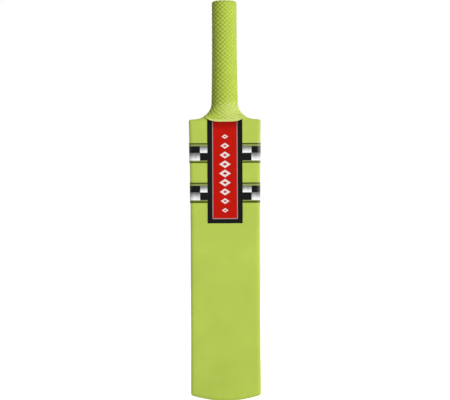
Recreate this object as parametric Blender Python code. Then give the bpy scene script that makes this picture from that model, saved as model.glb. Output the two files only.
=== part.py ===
"""A cricket fielding bat: a willow blade faced with rubber, on a spliced, bound and gripped cane handle.

Metres. +Z runs from the toe to the handle, the striking face looks to -Y, and the handle's axis is x = y = 0.
"""

import math

import bmesh
import bpy
import numpy as np

# Clearance between pieces that touch
GAP = 0.0003

# Outline of the blade, seen from the front
BAT_LENGTH = 0.6000
BLADE_LENGTH = 0.4206
SHOULDER_RISE = 0.0007
TOE_HALF_WIDTH = 0.0524
WAIST_HALF_WIDTH = 0.0517
WAIST_HEIGHT = 0.2350
SHOULDER_HALF_WIDTH = 0.0538
TOE_RADIUS = 0.1720
TOE_CORNER_RADIUS = 0.0042
TOE_FLAT_HALF_WIDTH = 0.0060
SHOULDER_CORNER_RADIUS = 0.0022
FILLET_RUN = 0.0286
FILLET_RISE = 0.0241
NECK_RISE = 0.0087

# Thickness of the blade, from the striking face
FACE_FORWARD = 0.0170
SWELL_HEIGHT = 0.1500
TOE_SPINE_THICKNESS = 0.0190
SWELL_SPINE_THICKNESS = 0.0325
NECK_SPINE_THICKNESS = 0.0290
TOE_EDGE_THICKNESS = 0.0120
SWELL_EDGE_THICKNESS = 0.0170
SHOULDER_EDGE_THICKNESS = 0.0135
SPINE_ROUNDING = 0.22

# Rubber face and skin
SHEET_THICKNESS = 0.0030
SHEET_EDGE_RADIUS = 0.0020
COVER_THICKNESS = 0.0015
COVER_EDGE_RADIUS = 0.0020

# Cane handle and its splice
HANDLE_TOP_RADIUS = 0.0153
HANDLE_NECK_RADIUS = 0.0166
SPLICE_HALF_WIDTH = 0.0166
SPLICE_LENGTH = 0.1250
SPLICE_TIP_HALF_WIDTH = 0.0020
SPLICE_SQUARENESS = 40.0
MIDDLE_SLAB_THICKNESS = 0.0090
SPRING_THICKNESS = 0.0015
CANES_ACROSS = 4
BINDING_THICKNESS = 0.0010

# Rubber grip
GRIP_WALL = 0.0020
GRIP_RIM_RUN = 0.0060
GRIP_RIM_DROP = 0.0048
GRIP_LIP = 0.0024
GRIP_HOLE_RADIUS = 0.0040
SKIRT_WALL = 0.0013
SKIRT_FRONT_DROP = 0.0039
SKIRT_SIDE_RISE = 0.0060
SKIRT_FACE_SHARE = 0.75
SKIRT_SQUARENESS = 16.0
BEAD_HEIGHT = 0.0015
BEAD_DEPTH = 0.0005

# Stickers
STICKER_THICKNESS = 0.0003
LABEL_HALF_WIDTH = 0.0262
LABEL_LENGTH = 0.1586
LABEL_CORNER_RADIUS = 0.0010
LABEL_TUCK = 0.0028
CHECK_HEIGHT = 0.0292
CHECK_DROP = 0.04935
CHECK_CLEARANCE = 0.0306
CHECK_WRAP = 0.0065

# Finishes: screen colour and roughness
WILLOW = (222, 196, 146, 0.55)
CANE = (205, 172, 112, 0.60)
SPRING_RUBBER = (45, 40, 36, 0.80)
TWINE = (214, 196, 150, 0.85)
FACE_RUBBER = (181, 200, 85, 0.70)
COVER_RUBBER = (176, 194, 84, 0.65)
GRIP_RUBBER = (176, 197, 90, 0.75)
LABEL_VINYL = (186, 28, 18, 0.30)
CHECK_VINYL = (150, 152, 148, 0.30)

# Fineness of the curved surfaces
ROUND_SIDES = 48
CORNER_STEPS = 3
CURVE_STEPS = 8
ROOF_COLUMNS = 14
TURN = np.linspace(0, 2 * math.pi, ROUND_SIDES, endpoint=False)

# Heights and places that follow from the sizes above
FACE_Y = -FACE_FORWARD
FILLET_FOOT = BLADE_LENGTH + SHOULDER_RISE
NECK_TOP = FILLET_FOOT + NECK_RISE
FLARE_TOP = FILLET_FOOT + FILLET_RISE
SPLICE_BOTTOM = FILLET_FOOT - SPLICE_LENGTH
CORE_FRONT = FACE_Y + SHEET_THICKNESS + GAP
CORE_INSET = COVER_THICKNESS + GAP
HANDLE_TOP = BAT_LENGTH - GRIP_LIP - GAP
BINDING_SEAT = GAP + BINDING_THICKNESS
GRIP_SEAT = BINDING_SEAT + GAP
SKIRT_SEAT = GAP + SKIRT_WALL
GRIP_NECK_RADIUS = HANDLE_NECK_RADIUS + GRIP_SEAT + GRIP_WALL
NECK_HALF_WIDTH = GRIP_NECK_RADIUS - SKIRT_SEAT
FILLET_ROOM = SHOULDER_HALF_WIDTH - SHOULDER_CORNER_RADIUS - NECK_HALF_WIDTH
FILLET_WIDTH = min(FILLET_RUN, FILLET_ROOM)
FILLET_X = NECK_HALF_WIDTH + FILLET_WIDTH
TOE_CORNER_X = TOE_HALF_WIDTH - TOE_CORNER_RADIUS
TOE_CENTRE_Z = math.sqrt(TOE_RADIUS**2 - TOE_FLAT_HALF_WIDTH**2)
TOE_CORNER_Z = TOE_CENTRE_Z - math.sqrt((TOE_RADIUS - TOE_CORNER_RADIUS) ** 2 - TOE_CORNER_X**2)
STICKER_BACK = FACE_Y - GAP
STICKER_FRONT = STICKER_BACK - STICKER_THICKNESS
LABEL_TOP = FILLET_FOOT + LABEL_TUCK
LABEL_BOTTOM = LABEL_TOP - LABEL_LENGTH
CHECK_UPPER_MIDDLE = BLADE_LENGTH - CHECK_DROP
CHECK_LOWER_MIDDLE = CHECK_UPPER_MIDDLE - CHECK_HEIGHT - CHECK_CLEARANCE


def linear(level):
    """One 0 to 255 screen level as a linear value."""
    share = level / 255
    return share / 12.92 if share <= 0.04045 else ((share + 0.055) / 1.055) ** 2.4


def material(name, red, green, blue, roughness, metallic=0.0):
    """A Principled material of the given screen colour."""
    made = bpy.data.materials.new(name)
    made.use_nodes = True
    shader = made.node_tree.nodes["Principled BSDF"]
    shader.inputs["Base Color"].default_value = (linear(red), linear(green), linear(blue), 1.0)
    shader.inputs["Roughness"].default_value = roughness
    shader.inputs["Metallic"].default_value = metallic
    made.diffuse_color = shader.inputs["Base Color"].default_value
    return made


def add_object(name, points, faces, finish=None, smooth=True):
    """A new object of a closed mesh, its faces turned outwards."""
    mesh = bpy.data.meshes.new(name)
    shape = bmesh.new()
    corners = [shape.verts.new([float(value) for value in point]) for point in points]
    for face in faces:
        shape.faces.new([corners[index] for index in face])
    bmesh.ops.recalc_face_normals(shape, faces=shape.faces)
    shape.to_mesh(mesh)
    shape.free()
    if finish:
        mesh.materials.append(material(name, *finish))
    if smooth:
        mesh.shade_smooth()
        mesh.set_sharp_from_angle(angle=math.radians(30))
    made = bpy.data.objects.new(name, mesh)
    bpy.context.scene.collection.objects.link(made)
    return made


def as_guide(guide):
    """Keeps a cutter or a trimming form out of the model."""
    guide.hide_render = True
    guide.display_type = "WIRE"
    return guide


def boolean(target, other, operation):
    """Cuts or trims target by another object."""
    step = target.modifiers.new(other.name, "BOOLEAN")
    step.operation = operation
    step.object = other


def box(name, low, high, finish=None):
    """A plain box between two corners."""
    points = [(x, y, z) for z in (low[2], high[2]) for y in (low[1], high[1]) for x in (low[0], high[0])]
    faces = [(0, 1, 3, 2), (4, 5, 7, 6), (0, 1, 5, 4), (2, 3, 7, 6), (0, 2, 6, 4), (1, 3, 7, 5)]
    return add_object(name, points, faces, finish, smooth=False)


def plate(first, count):
    """One face over a whole ring."""
    return [tuple(range(first, first + count))]


def strips(first, count):
    """Faces across a ring, each between two steps up one side and the mirrored two of the other side."""
    last = first + count - 1
    return [(first + row, first + row + 1, last - row - 1, last - row) for row in range(count // 2 - 1)]


def stacked(rings, cap=plate):
    """Points and faces of a skin over rings of equal count; without a cap its ends meet each other."""
    count = len(rings[0])
    rows = len(rings)
    points = [point for ring in rings for point in ring]
    faces = []
    for row in range(rows - 1 if cap else rows):
        above = (row + 1) % rows
        for side in range(count):
            beside = (side + 1) % count
            faces.append((row * count + side, row * count + beside, above * count + beside, above * count + side))
    if cap:
        faces += cap(0, count) + cap((rows - 1) * count, count)
    return points, faces


def ease(share):
    """A smooth step from 0 to 1."""
    held = min(max(share, 0.0), 1.0)
    return held * held * (3 - 2 * held)


def side_half_width(z):
    """Half the blade's width: two parabolas that widen from the waist to the toe corner and to the shoulder."""
    if z < WAIST_HEIGHT:
        end, end_half_width = TOE_CORNER_Z, TOE_HALF_WIDTH
    else:
        end, end_half_width = BLADE_LENGTH - SHOULDER_CORNER_RADIUS, SHOULDER_HALF_WIDTH
    return WAIST_HALF_WIDTH + (end_half_width - WAIST_HALF_WIDTH) * ((z - WAIST_HEIGHT) / (end - WAIST_HEIGHT)) ** 2


def swell(z, toe, peak, neck):
    """A thickness along the blade: one parabola down to the toe, another down to the shoulders."""
    if z < SWELL_HEIGHT:
        return peak + (toe - peak) * (1 - z / SWELL_HEIGHT) ** 2
    return peak + (neck - peak) * ((z - SWELL_HEIGHT) / (BLADE_LENGTH - SWELL_HEIGHT)) ** 2


def back_y(x, z):
    """The blade's back: a roof with a rounded ridge, from the spine down to the edges."""
    height = min(z, BLADE_LENGTH - SHOULDER_CORNER_RADIUS)
    share = abs(x) / side_half_width(max(height, TOE_CORNER_Z))
    fall = (math.hypot(share, SPINE_ROUNDING) - SPINE_ROUNDING) / (math.hypot(1, SPINE_ROUNDING) - SPINE_ROUNDING)
    spine = swell(height, TOE_SPINE_THICKNESS, SWELL_SPINE_THICKNESS, NECK_SPINE_THICKNESS)
    edge = swell(height, TOE_EDGE_THICKNESS, SWELL_EDGE_THICKNESS, SHOULDER_EDGE_THICKNESS)
    return FACE_Y + spine + (edge - spine) * fall


def half_outline(inset, neck_top):
    """The right half of the blade's outline moved in by inset, from the toe's middle up to the neck's top."""
    points = []
    start = math.asin(TOE_FLAT_HALF_WIDTH / TOE_RADIUS)
    corner = math.atan2(TOE_CORNER_X, TOE_CENTRE_Z - TOE_CORNER_Z)
    for angle in np.linspace(start, corner, CURVE_STEPS):
        reach = TOE_RADIUS - inset
        points.append((reach * math.sin(angle), TOE_CENTRE_Z - reach * math.cos(angle)))
    for angle in np.linspace(corner, math.pi / 2, CORNER_STEPS + 1)[1:]:
        reach = TOE_CORNER_RADIUS - inset
        points.append((TOE_CORNER_X + reach * math.sin(angle), TOE_CORNER_Z - reach * math.cos(angle)))
    shoulder_z = BLADE_LENGTH - SHOULDER_CORNER_RADIUS
    for z in np.linspace(TOE_CORNER_Z, shoulder_z, 2 * CURVE_STEPS)[1:-1]:
        points.append((side_half_width(z) - inset, z))
    for angle in np.linspace(0, math.pi / 2, CORNER_STEPS + 1):
        reach = SHOULDER_CORNER_RADIUS - inset
        x = SHOULDER_HALF_WIDTH - SHOULDER_CORNER_RADIUS + reach * math.cos(angle)
        points.append((x, shoulder_z + reach * math.sin(angle)))
    run, rise = FILLET_WIDTH + inset, FILLET_RISE + inset
    end = math.acos((FLARE_TOP - neck_top) / rise)
    for angle in np.linspace(0, end, CURVE_STEPS):
        points.append((FILLET_X - run * math.sin(angle), FLARE_TOP - rise * math.cos(angle)))
    return points


def blade_form(name, inset, front, front_radius, back_inset, back_radius, neck_top, finish=None):
    """The blade's shape, or the part of it that lies inset from the outside and behind a front plane."""

    def loop(extra, depth):
        right = [(x, depth(x, z), z) for x, z in half_outline(inset + extra, neck_top)]
        return right + [(-x, y, z) for x, y, z in reversed(right)]

    quarter = np.linspace(0, math.pi / 2, CORNER_STEPS + 1)
    loops = []
    for angle in quarter if front_radius else quarter[-1:]:
        depth = front + front_radius * (1 - math.cos(angle))
        loops.append(loop(front_radius * (1 - math.sin(angle)), lambda x, z, y=depth: y))
    for angle in quarter:
        drop = back_inset + back_radius * (1 - math.sin(angle))
        loops.append(loop(back_radius * (1 - math.cos(angle)), lambda x, z, y=drop: back_y(x, z) - y))

    count = len(loops[0])
    rows = count // 2
    points = [point for ring in loops for point in ring]
    last = (len(loops) - 1) * count
    grid = []
    for row in range(rows):
        right, left = last + row, last + count - 1 - row
        x, y, z = points[right]
        between = []
        for step in np.linspace(1, -1, ROOF_COLUMNS + 1)[1:-1]:
            share = step * math.sqrt(abs(step))
            between.append(len(points))
            points.append((x * share, back_y(x * share, z) - back_inset, z))
        grid.append([right, *between, left])

    faces = plate(0, count)
    for ring in range(len(loops) - 1):
        for side in range(count):
            beside = (side + 1) % count
            near, far = ring * count, (ring + 1) * count
            face = [near + side, near + beside, far + beside, far + side]
            if far == last and side == rows - 1:
                face = [near + side, near + beside, *reversed(grid[-1])]
            if far == last and side == count - 1:
                face = [near + side, near + beside, *grid[0]]
            faces.append(tuple(face))
    for lower, upper in zip(grid, grid[1:]):
        for column in range(ROOF_COLUMNS):
            faces.append((lower[column], lower[column + 1], upper[column + 1], upper[column]))
    return add_object(name, points, faces, finish)


def splice_half_width(z):
    """Half the width of the handle's V, from its tip up to the neck."""
    share = (z - SPLICE_BOTTOM) / (NECK_TOP - SPLICE_BOTTOM)
    return SPLICE_TIP_HALF_WIDTH + (SPLICE_HALF_WIDTH - SPLICE_TIP_HALF_WIDTH) * min(share, 1.0)


def handle_radius(z):
    """The cane handle's radius above the neck, tapering to its top."""
    share = (z - FLARE_TOP) / (HANDLE_TOP - FLARE_TOP)
    return HANDLE_NECK_RADIUS + (HANDLE_TOP_RADIUS - HANDLE_NECK_RADIUS) * share


def bulge(angle, squareness):
    """A point on the unit superellipse, angle 0 in front: a circle at squareness 2, near a square when high."""
    across, forward = math.sin(angle), math.cos(angle)
    reach = (abs(across) ** squareness + abs(forward) ** squareness) ** (-1 / squareness)
    return across * reach, forward * reach


def circle(radius, z):
    """A level ring of points round the handle's axis."""
    return [(radius * math.sin(angle), -radius * math.cos(angle), z) for angle in TURN]


def handle_ring(z):
    """The handle's section: a block that fills the blade's thickness, easing to a circle above the neck."""
    roundness = ease((z - NECK_TOP) / (FLARE_TOP - NECK_TOP))
    points = []
    for angle, (x, y, _) in zip(TURN, circle(handle_radius(max(z, FLARE_TOP)), z)):
        across, forward = bulge(angle, SPLICE_SQUARENESS)
        block_x = splice_half_width(z) * across
        block_back = back_y(block_x, z) - CORE_INSET
        block_y = forward * (CORE_FRONT if forward > 0 else -block_back)
        points.append((block_x + (x - block_x) * roundness, block_y + (y - block_y) * roundness, z))
    return points


def add_handle():
    """Twelve canes in three slabs with two rubber springs between them, all trimmed to the handle's shape."""
    splice = list(np.linspace(SPLICE_BOTTOM, NECK_TOP, 5))
    blend = list(np.linspace(NECK_TOP, FLARE_TOP, 6)[1:])
    form = as_guide(add_object("handle_form", *stacked([handle_ring(z) for z in [*splice, *blend, HANDLE_TOP]])))
    low, high = SPLICE_BOTTOM - GAP, HANDLE_TOP + GAP
    outside = 2 * HANDLE_NECK_RADIUS
    middle = MIDDLE_SLAB_THICKNESS / 2
    slab = middle + SPRING_THICKNESS + 2 * GAP
    slabs = {"front": (-outside, -slab), "middle": (-middle, middle), "back": (slab, outside)}
    cane_width = 2 * HANDLE_NECK_RADIUS / CANES_ACROSS
    for name, (front, back) in slabs.items():
        for number in range(CANES_ACROSS):
            left = (number - CANES_ACROSS / 2) * cane_width + GAP / 2
            right = left + cane_width - GAP
            left = -outside if number == 0 else left
            right = outside if number == CANES_ACROSS - 1 else right
            made = box(f"cane_{name}_{number + 1}", (left, front, low), (right, back, high), CANE)
            boolean(made, form, "INTERSECT")
    inner, outer = middle + GAP, middle + GAP + SPRING_THICKNESS
    for name, front, back in (("spring_front", -outer, -inner), ("spring_back", inner, outer)):
        made = box(name, (-outside, front, low), (outside, back, high), SPRING_RUBBER)
        boolean(made, form, "INTERSECT")


def add_binding():
    """The twine whipping as a plain sleeve over the round of the handle."""
    rings = []
    for seat, heights in ((BINDING_SEAT, (FLARE_TOP, HANDLE_TOP)), (GAP, (HANDLE_TOP, FLARE_TOP))):
        rings += [circle(handle_radius(z) + seat, z) for z in heights]
    add_object("handle_binding", *stacked(rings, cap=None), TWINE)


def flare_half_width(z, seat):
    """Half the grip's width over the shoulder fillets, seat outside the willow."""
    run, rise = FILLET_WIDTH - seat, FILLET_RISE - seat / 2
    drop = min(max((FLARE_TOP - z) / rise, 0.0), 1.0)
    return FILLET_X - run * math.sqrt(1 - drop * drop)


def skirt_edge(angle):
    """Height of the skirt's lower edge: low across face and back, high at the sides, bowed between."""
    across, forward = bulge(angle, SKIRT_SQUARENESS)
    level = SKIRT_FACE_SHARE * across**4 + (1 - SKIRT_FACE_SHARE) * (1 - abs(forward))
    return FILLET_FOOT - SKIRT_FRONT_DROP + (SKIRT_SIDE_RISE + SKIRT_FRONT_DROP) * level


def skirt_ring(share, lift, seat):
    """One ring of the grip's flare, seat off the blade: share 0 at its round top, 1 at lift above its edge."""
    widest = flare_half_width(FILLET_FOOT + SKIRT_SIDE_RISE, SKIRT_SEAT) - SKIRT_SEAT
    points = []
    for angle in TURN:
        z = FLARE_TOP + (skirt_edge(angle) + lift - FLARE_TOP) * share
        roundness = ease((z - NECK_TOP) / (FLARE_TOP - NECK_TOP))
        across, forward = bulge(angle, 2 + (SKIRT_SQUARENESS - 2) * (1 - roundness) ** 3)
        x = min(flare_half_width(z, seat), widest + seat) * across
        depth = seat + (-STICKER_FRONT if forward > 0 else back_y(x, z))
        depth += (NECK_HALF_WIDTH + seat - depth) * roundness
        points.append((x, -depth * forward, z))
    return points


def add_sleeve():
    """The grip's tapering tube, from the flare up to its rimmed top with a small hole."""
    top_radius = HANDLE_TOP_RADIUS + GRIP_SEAT + GRIP_WALL
    rim_z = BAT_LENGTH - GRIP_RIM_DROP
    foot = FLARE_TOP + GAP
    rings = [circle(GRIP_NECK_RADIUS, foot)]
    for angle in np.linspace(0, math.pi / 2, 2 * CORNER_STEPS):
        radius = top_radius - GRIP_RIM_RUN * (1 - math.cos(angle))
        rings.append(circle(radius, rim_z + GRIP_RIM_DROP * math.sin(angle)))
    rings.append(circle(GRIP_HOLE_RADIUS, BAT_LENGTH))
    rings.append(circle(GRIP_HOLE_RADIUS, BAT_LENGTH - GRIP_LIP))
    rings.append(circle(handle_radius(HANDLE_TOP) + GRIP_SEAT, BAT_LENGTH - GRIP_LIP))
    rings.append(circle(handle_radius(foot) + GRIP_SEAT, foot))
    add_object("grip_sleeve", *stacked(rings, cap=None), GRIP_RUBBER)


def add_skirt():
    """The grip's flare over the shoulders, with a bead along its edge."""
    rings = [skirt_ring(1.0, lift, SKIRT_SEAT + BEAD_DEPTH) for lift in (0.0, BEAD_HEIGHT)]
    above_bead = BEAD_HEIGHT + BEAD_DEPTH
    rings += [skirt_ring(share, above_bead, SKIRT_SEAT) for share in np.linspace(1.0, 0.0, CURVE_STEPS)]
    rings += [skirt_ring(share, 0.0, GAP) for share in np.linspace(0.0, 1.0, CURVE_STEPS + 1)]
    skirt = add_object("grip_skirt", *stacked(rings, cap=None), GRIP_RUBBER)
    seat = blade_form(
        "skirt_seat", -GAP, FACE_Y - GAP, SHEET_EDGE_RADIUS + GAP, -GAP, COVER_EDGE_RADIUS, NECK_TOP + GAP
    )
    boolean(skirt, as_guide(seat), "DIFFERENCE")
    half = LABEL_HALF_WIDTH + GAP
    relief = box("label_relief", (-half, STICKER_FRONT - GAP, LABEL_BOTTOM), (half, 0.0, LABEL_TOP + GAP))
    boolean(skirt, as_guide(relief), "DIFFERENCE")


def add_blade():
    """The willow core with its V socket, the rubber sheet on its face and the skin round its edges and back."""
    core = blade_form("blade_core", CORE_INSET, CORE_FRONT, 0.0, CORE_INSET, GAP, NECK_TOP, WILLOW)
    far = FACE_FORWARD + SWELL_SPINE_THICKNESS
    rings = []
    for z in (SPLICE_BOTTOM - GAP, NECK_TOP, NECK_TOP + far):
        half = splice_half_width(z) + GAP
        rings.append([(-half, -far, z), (half, -far, z), (half, far, z), (-half, far, z)])
    socket = as_guide(add_object("splice_socket", *stacked(rings), smooth=False))
    boolean(core, socket, "DIFFERENCE")

    quarter = np.linspace(0, math.pi / 2, CORNER_STEPS + 1)
    steps = [(SHEET_EDGE_RADIUS * (1 - math.sin(a)), SHEET_EDGE_RADIUS * (1 - math.cos(a))) for a in quarter]
    rings = []
    for inset, depth in [*steps, (0.0, SHEET_THICKNESS)]:
        right = [(x, FACE_Y + depth, z) for x, z in half_outline(inset, NECK_TOP)]
        rings.append(right + [(-x, y, z) for x, y, z in reversed(right)])
    add_object("face_sheet", *stacked(rings, cap=strips), FACE_RUBBER)

    cover = blade_form("back_cover", 0.0, CORE_FRONT, 0.0, 0.0, COVER_EDGE_RADIUS, NECK_TOP, COVER_RUBBER)
    hollow = blade_form(
        "cover_hollow", COVER_THICKNESS, 2 * FACE_Y, 0.0, COVER_THICKNESS, GAP, NECK_TOP + COVER_THICKNESS
    )
    boolean(cover, as_guide(hollow), "DIFFERENCE")


def add_label():
    """The long sticker on the face, its top tucked under the grip's skirt."""
    corners = []
    for turn, side, z in ((0, 1, LABEL_BOTTOM), (1, 1, LABEL_TOP), (2, -1, LABEL_TOP), (3, -1, LABEL_BOTTOM)):
        x = side * (LABEL_HALF_WIDTH - LABEL_CORNER_RADIUS)
        middle = z + LABEL_CORNER_RADIUS if z == LABEL_BOTTOM else z - LABEL_CORNER_RADIUS
        for angle in np.linspace(turn - 1, turn, CORNER_STEPS + 1) * math.pi / 2:
            reach = LABEL_CORNER_RADIUS
            corners.append((x + reach * math.cos(angle), middle + reach * math.sin(angle)))
    rings = [[(x, y, z) for x, z in corners] for y in (STICKER_FRONT, STICKER_BACK)]
    add_object("face_label", *stacked(rings), LABEL_VINYL, smooth=False)


def add_check(name, side, middle):
    """One check sticker, from beside the label across the face and round the edge."""

    def strip(seat, z):
        half_width = side_half_width(z)
        corner_x, corner_y = half_width - SHEET_EDGE_RADIUS, FACE_Y + SHEET_EDGE_RADIUS
        reach = SHEET_EDGE_RADIUS + seat
        across = [(LABEL_HALF_WIDTH + GAP, FACE_Y - seat)]
        for angle in np.linspace(0, math.pi / 2, CORNER_STEPS + 1):
            across.append((corner_x + reach * math.sin(angle), corner_y - reach * math.cos(angle)))
        across.append((half_width + seat, FACE_Y + SHEET_EDGE_RADIUS + CHECK_WRAP))
        return [(side * x, y, z) for x, y in across]

    rings = []
    for z in np.linspace(middle - CHECK_HEIGHT / 2, middle + CHECK_HEIGHT / 2, 4):
        rings.append(strip(GAP + STICKER_THICKNESS, z) + strip(GAP, z)[::-1])
    add_object(name, *stacked(rings), CHECK_VINYL)


def main():
    """Clears the scene and builds the bat."""
    for old in list(bpy.data.objects):
        bpy.data.objects.remove(old, do_unlink=True)
    add_blade()
    add_handle()
    add_binding()
    add_sleeve()
    add_skirt()
    add_label()
    for height, middle in (("upper", CHECK_UPPER_MIDDLE), ("lower", CHECK_LOWER_MIDDLE)):
        add_check(f"check_{height}_left", -1, middle)
        add_check(f"check_{height}_right", 1, middle)


if __name__ == "__main__":
    main()
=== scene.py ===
"""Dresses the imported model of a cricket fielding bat: lime rubber, stickers, a diamond grip, twine and wood.

Metres. +Z runs from the toe to the handle, the striking face looks to -Y, and the handle's axis is x = y = 0.
"""

import math

import bpy
import numpy as np
from bpy.props import FloatProperty, FloatVectorProperty, IntProperty, PointerProperty
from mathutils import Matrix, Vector


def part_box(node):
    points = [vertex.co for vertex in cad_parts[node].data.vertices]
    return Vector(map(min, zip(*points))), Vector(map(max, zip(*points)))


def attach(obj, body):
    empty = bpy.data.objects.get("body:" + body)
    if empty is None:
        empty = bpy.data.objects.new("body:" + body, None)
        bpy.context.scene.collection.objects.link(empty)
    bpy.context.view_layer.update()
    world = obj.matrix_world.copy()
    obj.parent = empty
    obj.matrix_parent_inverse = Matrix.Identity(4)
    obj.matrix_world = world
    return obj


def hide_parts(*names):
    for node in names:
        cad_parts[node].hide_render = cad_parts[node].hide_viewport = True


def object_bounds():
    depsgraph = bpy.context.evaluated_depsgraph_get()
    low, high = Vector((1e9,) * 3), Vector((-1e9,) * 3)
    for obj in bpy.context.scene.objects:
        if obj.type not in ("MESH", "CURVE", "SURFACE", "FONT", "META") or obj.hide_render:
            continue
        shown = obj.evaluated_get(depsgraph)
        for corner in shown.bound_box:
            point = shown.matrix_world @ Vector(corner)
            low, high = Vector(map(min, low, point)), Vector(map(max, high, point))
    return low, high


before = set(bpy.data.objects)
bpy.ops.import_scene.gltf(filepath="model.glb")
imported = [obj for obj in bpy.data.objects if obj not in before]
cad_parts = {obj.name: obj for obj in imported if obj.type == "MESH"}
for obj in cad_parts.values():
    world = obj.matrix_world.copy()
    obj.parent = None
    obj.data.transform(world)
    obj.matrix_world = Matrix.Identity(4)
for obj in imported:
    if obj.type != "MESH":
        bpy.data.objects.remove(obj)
CAD_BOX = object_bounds()

bl_info = {
    "name": "Cricket Fielding Bat",
    "version": (1, 0, 0),
    "blender": (4, 5, 0),
    "location": "View3D > Sidebar > Fielding Bat",
    "description": "Builds the rubber, stickers, grip and studio of a short cricket bat on its packed model",
    "category": "Add Mesh",
}

# Clearance between pieces that touch, and the angles in degrees from which an edge is sharp
GAP = 0.0003
CREASE = 30.0
SMOOTH = 180.0

# Outline and thickness of the blade
BAT_LENGTH = CAD_BOX[1][2]
BLADE_LENGTH = 0.4206
SHOULDER_RISE = 0.0007
TOE_HALF_WIDTH = 0.0524
WAIST_HALF_WIDTH = 0.0517
WAIST_HEIGHT = 0.2350
SHOULDER_HALF_WIDTH = 0.0538
TOE_RADIUS = 0.1720
TOE_CORNER_RADIUS = 0.0042
TOE_FLAT_HALF_WIDTH = 0.0060
SHOULDER_CORNER_RADIUS = 0.0022
FILLET_RUN = 0.0286
FILLET_RISE = 0.0241
NECK_RISE = 0.0087
FACE_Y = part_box("face_sheet")[0][1]
SWELL_HEIGHT = 0.1500
SPINE_THICKNESSES = (0.0190, 0.0325, 0.0290)
EDGE_THICKNESSES = (0.0120, 0.0170, 0.0135)
SPINE_ROUNDING = 0.22
SHEET_THICKNESS = 0.0030
EDGE_RUN = 0.0060
EDGE_DEPTH = 0.0027
EDGE_RADIUS = 0.0020
COVER_THICKNESS = 0.0015
TONGUE_THINNING = 0.0027
TONGUE_TAPER = 0.075
SKIN_TRIM = 0.0020
SHARPEST_RADIUS = 0.0003
FLAT_STEP = 0.00015

# Handle, twine and grip
HANDLE_TOP_RADIUS = 0.0153
HANDLE_NECK_RADIUS = 0.0166
TWINE_THICKNESS = 0.0010
GRIP_WALL = 0.0020
RIM_RUN = 0.0050
RIM_DROP = 0.0044
GRIP_LIP = 0.0024
GRIP_HOLE_RADIUS = 0.0040
SKIRT_WALL = 0.0013
SKIRT_FRONT_DROP = 0.0039
SKIRT_SIDE_RISE = 0.0060
SKIRT_FACE_SHARE = 0.75
SKIRT_SQUARENESS = 16.0
SKIRT_ROUNDING = 1.75
SKIRT_CROWN = 0.0010
SKIRT_CROWN_RUN = 0.0045
SKIRT_FALL = 0.0048
NECK_FALL = 0.0030
NECK_FALL_RUN = 0.0040
BEAD_HEIGHT = 0.0015
BEAD_DEPTH = 0.0005
BEAD_ROOT = 0.0003
BEAD_STEP = 0.0006
LIP_ROUNDING = 0.0002
HOLE_LEDGE = 0.0008

# Relief of the grip: where it fades out, where it turns fine, and its slanting share on tube and flare
RELIEF_FOOT_FADE = 0.0020
RELIEF_TOP_FADE = 0.0070
FINE_START = 0.0010
FINE_RUN = 0.0060
TUBE_SLANT = 0.50
FLARE_SLANT = 0.72

# Stretched flare, fading left as painted light; how high and wide the bead's painted highlight is; the shares'
# names
STRETCH_ROWS = 1.5
STRETCH_SHARE = 0.6
STRETCH_LEFT = 0.0200
STRETCH_SPREAD = 0.0280
BEAD_HIGHLIGHT_HEIGHT = 0.0018
BEAD_HIGHLIGHT_HALF_WIDTH = 0.0170
BEAD_HIGHLIGHT_SPREAD = 0.0120
SHARES = ("pits", "stretch", "bead")

# Twine
TWINE_PITCH = 0.0012
TWINE_INSET = 0.0002
TWINE_CORE = 0.45

# Stickers
STICKER_THICKNESS = 0.0003
CHECK_WRAP = 0.0065
LABEL_LOW, LABEL_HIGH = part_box("face_label")
CHECK_MARGIN = 0.0008
CHECK_FLAT_STEP = 0.0006
# Painted highlight beside the check lines: how far out from a line it lies and how far it reaches
GLINT_OFFSET = 0.0010
GLINT_REACH = 0.0014
# How far past the blade's edge the painted edge highlight runs
HIGHLIGHT_PAST_EDGE = 0.0010
# How far the print of the upper and the lower check stickers sits below their middle
PRINT_DROPS = {"upper": 0.0004, "lower": -0.0002}
# A lozenge: how much smaller the end ones are, half its height in pitches, and where its edges blur
MOTIF_TAPER = 0.55
MOTIF_HALF_HEIGHT = 0.42
MOTIF_OUTER_EDGE = (0.93, 1.07)
MOTIF_INNER_EDGE = (0.34, 0.46)

# Each lamp's azimuth, elevation, distance and size, the floor, and the camera with the depth it looks at
LAMPS = {"key": (35.0, 14.0, 3.4, 2.4), "side": (118.0, 8.0, 2.3, 1.2), "back": (180.0, 42.0, 2.6, 0.8)}
FLOOR_RADII = (0.0001, 0.4, 1.0, 4.0)
FLOOR_DROP = 0.0002
FLOOR_GLOW = (0.85, 0.85, 0.85)
FLOOR_COLOUR = (0.8, 0.8, 0.8, 1.0)
WHITE = (1.0, 1.0, 1.0, 1.0)
SENSOR_WIDTH = 36.0
ROLL = math.radians(0.28)
AIM_Y = -0.0100

# Materials: the noise's middle, the gloss of each finish and of the pieces inside, and the grain's depth
NOISE_MIDDLE = 0.5
RUBBER_GLOSS = 0.15
GRIP_GLOSS = 0.10
PRINT_GLOSS = 0.05
INNER_GLOSS = 0.30
RUBBER_GRAIN = 0.00012
LABEL_GRAIN = 0.00006
CHECK_GRAIN = 0.00005
WOOD_GRAIN = 0.00010
TWINE_GRAIN = 0.00015

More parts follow.
